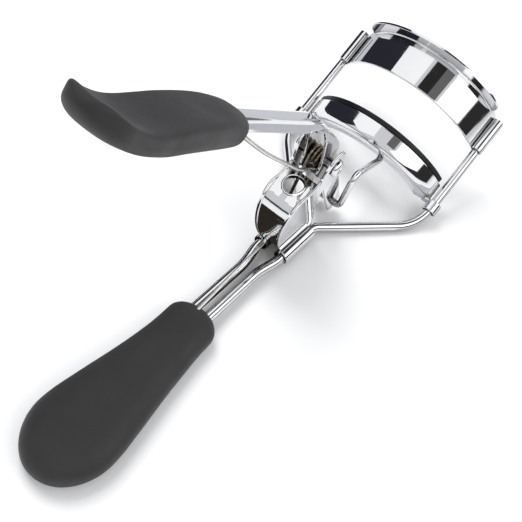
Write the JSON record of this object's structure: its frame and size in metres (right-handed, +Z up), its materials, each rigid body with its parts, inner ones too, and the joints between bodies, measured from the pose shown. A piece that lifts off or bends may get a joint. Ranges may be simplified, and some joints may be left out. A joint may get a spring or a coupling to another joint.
{
  "type": "eyelash curler",
  "caption": "Eyelash curler with a wire frame, curved fixed and sliding jaws, a spring-opened lever and soft black grips.",
  "frame": {"origin": "centre of the bounding box in X and Y, at the level of the surface it lies on", "axes": "+X across the jaws, +Y from the handle towards the jaws, +Z up, away from the surface it lies on"},
  "size_m": [0.0394, 0.1174, 0.0744],
  "materials": {
    "chrome_wire": "bright plated wire",
    "chrome_sheet": "bright plated pressed steel",
    "spring_steel": "drawn spring wire",
    "soft_black": "fine matte soft-touch coat",
    "silicone": "smooth satin silicone"
  },
  "bodies": {
    "frame": {"frame_wire_left": "chrome_wire", "frame_wire_right": "chrome_wire", "bracket": "chrome_sheet", "pivot_rivet": "chrome_sheet", "upper_jaw": "chrome_sheet", "torsion_spring": "spring_steel", "handle_grip": "soft_black"},
    "lever": {"lever": "chrome_sheet", "thumb_grip": "soft_black"},
    "lower_jaw": {"lower_jaw": "chrome_sheet", "lash_pad": "silicone", "link_lug": "chrome_sheet"},
    "link": {"link_wire": "chrome_wire"}
  },
  "joints": [
    {"name": "lever_squeeze", "type": "hinge", "parent": "frame", "child": "lever", "pos_m": [0, 0.00828, 0.02538], "axis": [1, 0, 0], "range_deg": [0, 23], "stiffness_Nm_per_rad": 0.05, "springref_deg": -34.38, "deforming": ["torsion_spring"]},
    {"name": "lower_jaw_slide", "type": "slide", "parent": "frame", "child": "lower_jaw", "axis": [0, 0.8481, 0.5299], "range_m": [0, 0.0095]},
    {"name": "link_swing", "type": "hinge", "parent": "lower_jaw", "child": "link", "pos_m": [0, 0.03743, 0.00925], "axis": [-1, 0, 0], "range_deg": [0, 6.2]}
  ],
  "couplings": [
    {"joint": "lower_jaw_slide", "follows": "lever_squeeze", "m_per_rad": 0.023641},
    {"joint": "link_swing", "follows": "lever_squeeze", "ratio": 0.26913}
  ]
}
